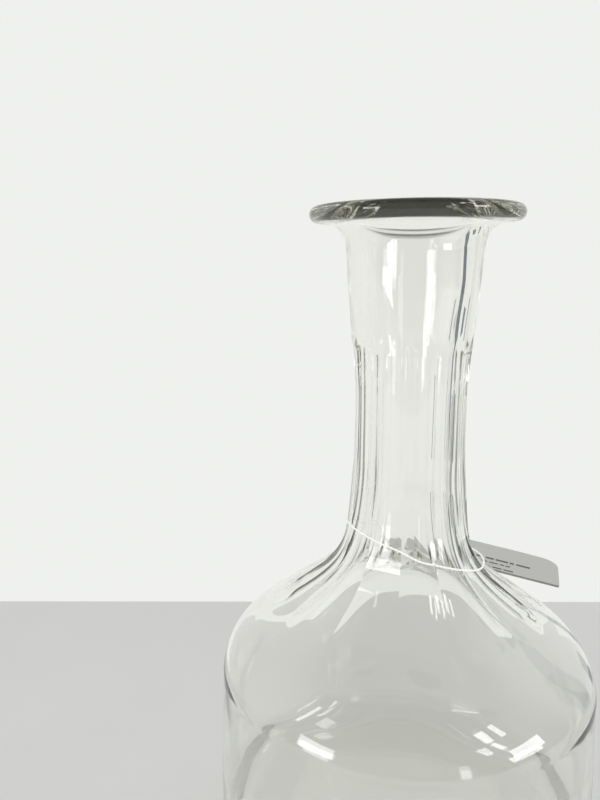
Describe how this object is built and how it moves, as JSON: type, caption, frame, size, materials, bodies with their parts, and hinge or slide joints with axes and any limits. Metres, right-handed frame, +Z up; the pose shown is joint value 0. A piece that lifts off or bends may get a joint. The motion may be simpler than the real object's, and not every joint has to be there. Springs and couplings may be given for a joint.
{
  "type": "cut-glass decanter",
  "caption": "Clear glass decanter with a wide flanged lip, a thick panel-cut neck and a broad cylindrical body, with a paper tag tied round the neck on a string.",
  "frame": {"origin": "centre of the foot, on the surface that the decanter stands on", "axes": "+Z up along the decanter's axis, towards the lip; -Y is the side seen first, and the tag lies behind the neck towards +X"},
  "size_m": [0.1516, 0.1673, 0.261],
  "materials": {
    "glass": "polished",
    "string": "twisted thread",
    "card": "matte paperboard"
  },
  "bodies": {
    "glass": {"base": "glass", "body_wall": "glass", "shoulder": "glass", "neck_root": "glass", "neck": "glass", "lip": "glass"},
    "string": {"string_loop": "string", "string_knot": "string"},
    "tag": {"tag_tie": "string", "tag_card": "card"}
  },
  "joints": [
    {"name": "loop_turn", "type": "hinge", "parent": "glass", "child": "string", "pos_m": [0, 0, 0.13], "axis": [0, 0, 1], "continuous": true},
    {"name": "tag_lift", "type": "hinge", "parent": "string", "child": "tag", "pos_m": [-0.00174, 0.05904, 0.10297], "axis": [0.9778, -0.1636, -0.1305], "range_deg": [0, 70]}
  ]
}
